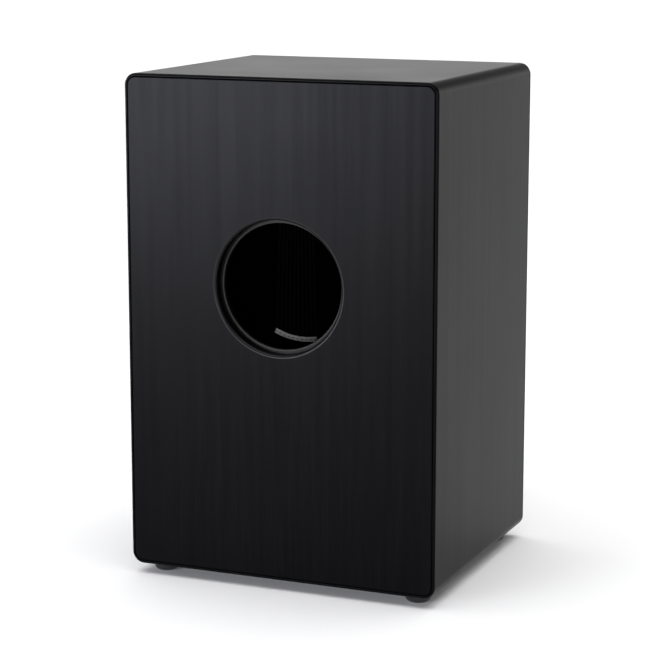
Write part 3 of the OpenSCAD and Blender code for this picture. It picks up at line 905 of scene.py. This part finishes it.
for side, name in ((1, "left"), (-1, "right")):
    ends = [wire_ends(side, i) for i in range(WIRES)]
    hang = ends[0][1] - ends[0][0]
    fan = grown(
        f"coiled_wires_{name}", winding, [(top, end - top) for top, end in ends],
        length=hang.length, turns=hang.length / COIL_PITCH, coil_radius=WIRE_R - GAUGE_R,
        wire_radius=GAUGE_R, finish=wire_black_painted_shade,
    )
    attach(fan, "snare_set")
    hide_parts(f"snare_wires_{name}")

    lo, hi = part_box(f"clamp_plate_{name}")
    half = (hi - lo) / 2
    middle = (hi + lo) / 2
    plate_r = 2 * MM
    plate_ease = 0.2 * MM
    outline = []
    for quarter in range(4):
        outline += side_line(quarter, half.x, half.z, plate_r, 3, 2)[:-1]
    bm = bmesh.new()
    rings = []
    plate_section = [
        (plate_ease, lo.y), (0.0, lo.y + plate_ease), (0.0, hi.y - plate_ease), (plate_ease, hi.y)
    ]
    for inset, y in plate_section:
        rings.append([
            Vector((middle.x + p.x, y, middle.z + p.z - MID_Z))
            for p in [on_line(place, plate_r, inset, y, half.x, half.z) for place in outline]
        ])
    made = skin(bm, rings)
    bm.faces.new(made[0])
    bm.faces.new(made[-1])
    plate = piece(f"wire_clamp_{name}", bm, zinc)
    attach(plate, "snare_set")
    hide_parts(f"clamp_plate_{name}")

    bm = bmesh.new()
    sweep = STRIP_OUTER_ANGLE + STRIP_INNER_ANGLE
    turns = [STRIP_OUTER_ANGLE - sweep * i / STRIP_STEPS for i in range(STRIP_STEPS + 1)]
    made = skin(bm, [strip_ring(angle, side) for angle in turns])
    bm.faces.new(made[0])
    bm.faces.new(made[-1])
    strip = piece(f"curved_strip_{name}", bm, strip_coat)
    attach(strip, "snare_set")
    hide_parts(f"end_strip_{name}")

    blob = drop(width=2.6 * MM, height=3.0 * MM, depth=1.6 * MM)
    face_y = Vector((0, STRIP_LO.y - WIRE_Y, 0))
    joints = [(top + face_y - UP * SOLDER_DROP, ALONG_Y) for top, _ in ends]
    joints += [(end + face_y, ALONG_Y) for _, end in ends]
    beads = grown(
        f"solder_{name}", setting, joints, pattern_piece=blob, most_turn=0.5, seed=7, finish=solder
    )
    bpy.data.objects.remove(blob)
    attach(beads, "snare_set")

    tail = drop(width=2.6 * MM, height=0.7 * MM, depth=0.7 * MM)
    behind = Vector((0, STRIP_HI.y - WIRE_Y, 0))
    tails = grown(
        f"wire_tails_{name}", setting, [(end + behind, ALONG_Y) for _, end in ends],
        pattern_piece=tail, most_turn=0.0, seed=1, finish=wire_black_painted_shade,
    )
    bpy.data.objects.remove(tail)
    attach(tails, "snare_set")

CLAMP_SCREW_X = 19 * MM
CLAMP_HEAD = 1.4 * MM
CLAMP_SCREW_SHANK_R = 1.4 * MM
CLAMP_SCREW_LO, CLAMP_SCREW_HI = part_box("clamp_plate_screws")
CLAMP_SCREW_Z = (CLAMP_SCREW_LO.z + CLAMP_SCREW_HI.z) / 2
places = [
    (Vector((side * CLAMP_X + s * CLAMP_SCREW_X, CLAMP_SCREW_LO.y, CLAMP_SCREW_Z)), ALONG_Y)
    for side in (-1, 1)
    for s in (-1, 1)
]
screw = wood_screw(
    pan_head(2.8 * MM, CLAMP_SCREW_SHANK_R, CLAMP_HEAD), CLAMP_SCREW_SHANK_R,
    CLAMP_SCREW_HI.y - CLAMP_SCREW_LO.y, recess=(1.5 * MM, 0.35 * MM, 0.9 * MM),
)
clamp_fixings = grown(
    "clamp_fixings", setting, places, pattern_piece=screw, most_turn=FULL_TURN, seed=5, finish=zinc
)
bpy.data.objects.remove(screw)
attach(clamp_fixings, "snare_set")
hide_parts("clamp_plate_screws")


# ==== Thumb screw ===============================================================================
# A zinc-plated knurled screw in the right block. Its tip presses on the bar's round end and holds the
# snares where they are set. Turned from one bar, with eighteen finger flutes.

THUMB_LO, THUMB_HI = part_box("thumb_screw")
THUMB_X = (THUMB_LO.x + THUMB_HI.x) / 2
THUMB_SHANK_R = 3 * MM
THUMB_HEAD_R = (THUMB_HI.x - THUMB_LO.x) / 2
THUMB_HEAD_T = 7 * MM
FLUTES = 18
FLUTE_DEPTH = 0.6 * MM
THUMB_STEPS = FLUTES * 8


def thumb_ring(r, h, fluted):
    """One ring of the thumb screw; h is the distance in from the outer face of its head."""
    ring = []
    for i in range(THUMB_STEPS):
        a = 2 * math.pi * i / THUMB_STEPS
        dip = FLUTE_DEPTH * fluted * max(0.0, math.cos(FLUTES * a)) ** 0.8
        reach = r - dip
        ring.append(Vector((THUMB_X + reach * math.cos(a), THUMB_HI.y - h, BAR_Z + reach * math.sin(a))))
    return ring


# In mm: inset from the head's radius and distance in from its outer face. Last, the flutes' share.
head_outline = [
    (3.8, 0.9, 0), (3.0, 0.0, 0), (1.2, 0.0, 0), (0.6, 0.2, 0.3), (0.2, 0.6, 0.8), (0.0, 1.1, 1),
    (0.0, 5.9, 1), (0.2, 6.4, 0.8), (0.8, 6.8, 0.2), (1.4, 7.0, 0),
]
rings = [thumb_ring(0.0, head_outline[0][1] * MM, 0)]
rings += [thumb_ring(THUMB_HEAD_R - inset * MM, h * MM, fluted) for inset, h, fluted in head_outline]
rings.append(thumb_ring(THUMB_SHANK_R, THUMB_HEAD_T, 0))
screw_length = THUMB_HI.y - THUMB_LO.y
THREAD_PITCH = 1.0 * MM
THREAD_DEPTH = 0.45 * MM
THREAD_STOP = 0.9 * MM
TIP_R = 2.0 * MM
TIP_EASE = 0.3 * MM
h = THUMB_HEAD_T + THREAD_PITCH / 4
while h < screw_length - THREAD_STOP:
    turn = h / THREAD_PITCH
    ring = []
    for i in range(THUMB_STEPS):
        a = 2 * math.pi * i / THUMB_STEPS
        wave = abs(2 * ((turn - i / THUMB_STEPS) % 1.0) - 1)
        r = THUMB_SHANK_R - THREAD_DEPTH * wave
        ring.append(Vector((THUMB_X + r * math.cos(a), THUMB_HI.y - h, BAR_Z + r * math.sin(a))))
    rings.append(ring)
    h += THREAD_PITCH / 4
rings.append(thumb_ring(TIP_R + TIP_EASE, screw_length - TIP_EASE, 0))
rings.append(thumb_ring(TIP_R, screw_length, 0))
rings.append(thumb_ring(0.0, screw_length, 0))
bm = bmesh.new()
skin(bm, rings)
lock_knob = piece("lock_knob", bm, zinc)
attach(lock_knob, "lock")
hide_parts("thumb_screw")


# ==== Front plate ===============================================================================
# The thin playing surface: 3 mm three-ply with an open-pored face veneer, stained black and sealed
# satin, then screwed all round to the front edges of the box. Its edge is matt; its back takes the
# near-black inside coat, which is partly black paint and partly painted shade.

stained = finish_coat("stained_veneer", (0.012, 0.011, 0.011), 0.46, specular=0.3)
figure = pattern(stained, 60.0, (1.0, 1.0, 0.05), detail=4.0, distortion=1.2)
pores = pattern(stained, 1500.0, (1.0, 1.0, 0.02), detail=2.0)
tint(stained, figure, [(0.006, 0.0056, 0.0056), (0.011, 0.010, 0.0098), (0.019, 0.0165, 0.0155)])
vary_gloss(stained, pores, 0.38, 0.56)
relief(stained, (pores, 0.05 * MM), (figure, 0.03 * MM))
cut_edge = finish_coat("matt_black_edge", (0.003, 0.003, 0.003), 0.7, specular=0.06)
sawn = pattern(cut_edge, 500.0, (1.0, 6.0, 1.0), detail=3.0)
tint(cut_edge, sawn, [(0.002, 0.002, 0.002), (0.005, 0.0045, 0.004)])
vary_gloss(cut_edge, sawn, 0.62, 0.8)
relief(cut_edge, (sawn, 0.03 * MM))

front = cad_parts["front_plate"]
front.material_slots[0].material = stained
front.data.materials.append(inside_black_painted_shade)
front.data.materials.append(cut_edge)
# The back face takes the near-black inside coat, partly painted shade.
for face in front.data.polygons:
    face.material_index = 0 if face.normal.y < -0.9 else 1 if face.normal.y > 0.9 else 2

SCREW_INSET = 7 * MM
SCREW_LO, SCREW_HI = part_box("front_plate_screws")
SCREW_HEAD_R = 3.6 * MM
SCREW_SHANK_R = 1.8 * MM
SCREW_SINK = 0.05 * MM
ROW_HALF = HALF_W - 2.6 * SCREW_INSET
COLUMN_STEP = 2 * (HALF_H - 5 * SCREW_INSET) / 5
row = [(ROW_HALF * (i / 2 - 1), s * (HALF_H - SCREW_INSET)) for s in (-1, 1) for i in range(5)]
columns = [(s * (HALF_W - SCREW_INSET), COLUMN_STEP * (i - 2.5)) for s in (-1, 1) for i in range(6)]
places = [(Vector((x, SCREW_LO.y + SCREW_SINK, MID_Z + z)), ALONG_Y) for x, z in row + columns]
screw = wood_screw(
    countersunk(SCREW_HEAD_R, SCREW_SHANK_R, 2.4 * MM), SCREW_SHANK_R,
    SCREW_HI.y - SCREW_LO.y - SCREW_SINK, recess=(1.9 * MM, 0.45 * MM, 1.7 * MM),
)
plate_fixings = grown(
    "plate_fixings", setting, places, pattern_piece=screw, most_turn=FULL_TURN, seed=11, finish=black_oxide
)
bpy.data.objects.remove(screw)
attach(plate_fixings, "box")
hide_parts("front_plate_screws")


# ==== Feet ======================================================================================
# Four moulded rubber feet, bowl shaped, with a fine parting line. Each has a recess under it for a
# zinc washer and a pan-head screw that goes up into the bottom panel.

rubber = finish_coat("foot_rubber", (0.006, 0.006, 0.0065), 0.2, specular=0.9)
rubber_bloom = pattern(rubber, 190.0, detail=4.0)
tint(rubber, rubber_bloom, [(0.004, 0.004, 0.0045), (0.008, 0.008, 0.0085)])
vary_gloss(rubber, rubber_bloom, 0.15, 0.25)
relief(rubber, (pattern(rubber, 1700.0), 0.012 * MM))

FOOT_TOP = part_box("foot_rear_left")[1].z
FOOT_SIDE_R = (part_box("foot_rear_left")[1].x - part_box("foot_rear_left")[0].x) / 2
FOOT_LOW_R = 11.8 * MM
FOOT_ROUND = 5 * MM
RECESS_R = 4.6 * MM
RECESS_TOP = 5.5 * MM
RECESS_EASE = 0.3 * MM
FOOT_BORE_R = 2.1 * MM
FOOT_SCREW_SHANK_R = 1.75 * MM
SEAM_Z = 6.2 * MM


def foot_side(z):
    """Radius of the foot's sloping side at height z."""
    return FOOT_LOW_R + (FOOT_SIDE_R - FOOT_LOW_R) * (z - FOOT_ROUND) / (FOOT_TOP - FOOT_ROUND)


bowl = [
    (FOOT_LOW_R - FOOT_ROUND * (1 - math.sin(a)), FOOT_ROUND * (1 - math.cos(a)))
    for a in [math.pi / 2 * i / 12 for i in range(13)]
]
seam = [(foot_side(SEAM_Z + dz) + rise, SEAM_Z + dz) for dz, rise in (
    (-0.30 * MM, 0.0), (-0.12 * MM, 0.06 * MM), (0.12 * MM, 0.06 * MM), (0.30 * MM, 0.0)
)]
foot_outline = (
    [(FOOT_BORE_R, RECESS_TOP), (RECESS_R - RECESS_EASE, RECESS_TOP), (RECESS_R, RECESS_TOP - RECESS_EASE)]
    + [(RECESS_R, 0.5 * MM), (RECESS_R + 0.15 * MM, 0.15 * MM), (RECESS_R + 0.5 * MM, 0.0)]
    + bowl
    + seam
    + [(foot_side(FOOT_TOP - 0.9 * MM), FOOT_TOP - 0.9 * MM)]
    + [(FOOT_SIDE_R - 0.25 * MM, FOOT_TOP - 0.35 * MM), (FOOT_SIDE_R - 0.6 * MM, FOOT_TOP)]
    + [(FOOT_BORE_R, FOOT_TOP)]
)
feet = []
for where in ("front_left", "front_right", "rear_left", "rear_right"):
    lo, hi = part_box(f"foot_{where}")
    centre = Matrix.Translation(((lo.x + hi.x) / 2, (lo.y + hi.y) / 2, 0))
    feet.append(centre.translation)
    bm = bmesh.new()
    turned(bm, foot_outline, 72, centre, loop=True)
    foot = piece(f"rubber_foot_{where}", bm, rubber)
    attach(foot, "box")
    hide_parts(f"foot_{where}")

WASHER_LO, WASHER_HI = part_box("foot_washers")
WASHER_R = 4.3 * MM
washer_t = WASHER_HI.z - WASHER_LO.z
ease = 0.2 * MM
bm = bmesh.new()
turned(bm, [
    (FOOT_BORE_R, 0.0), (WASHER_R - ease, 0.0), (WASHER_R, ease), (WASHER_R, washer_t - ease),
    (WASHER_R - ease, washer_t), (FOOT_BORE_R, washer_t),
], 40, loop=True)
washer = piece("washer_pattern", bm)
places = [(centre + UP * WASHER_LO.z, UP) for centre in feet]
washers = grown("steel_washers", setting, places, pattern_piece=washer, most_turn=0.0, seed=1, finish=zinc)
bpy.data.objects.remove(washer)
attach(washers, "box")
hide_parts("foot_washers")

FOOT_SCREW_LO, FOOT_SCREW_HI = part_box("foot_screws")
screw = wood_screw(
    pan_head(3.6 * MM, FOOT_SCREW_SHANK_R, WASHER_LO.z - FOOT_SCREW_LO.z), FOOT_SCREW_SHANK_R,
    FOOT_SCREW_HI.z - FOOT_SCREW_LO.z, recess=(2.0 * MM, 0.45 * MM, 1.2 * MM),
)
places = [(centre + UP * FOOT_SCREW_LO.z, UP) for centre in feet]
foot_fixings = grown(
    "foot_fixings", setting, places, pattern_piece=screw, most_turn=FULL_TURN, seed=2, finish=zinc
)
bpy.data.objects.remove(screw)
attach(foot_fixings, "box")
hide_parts("foot_screws")
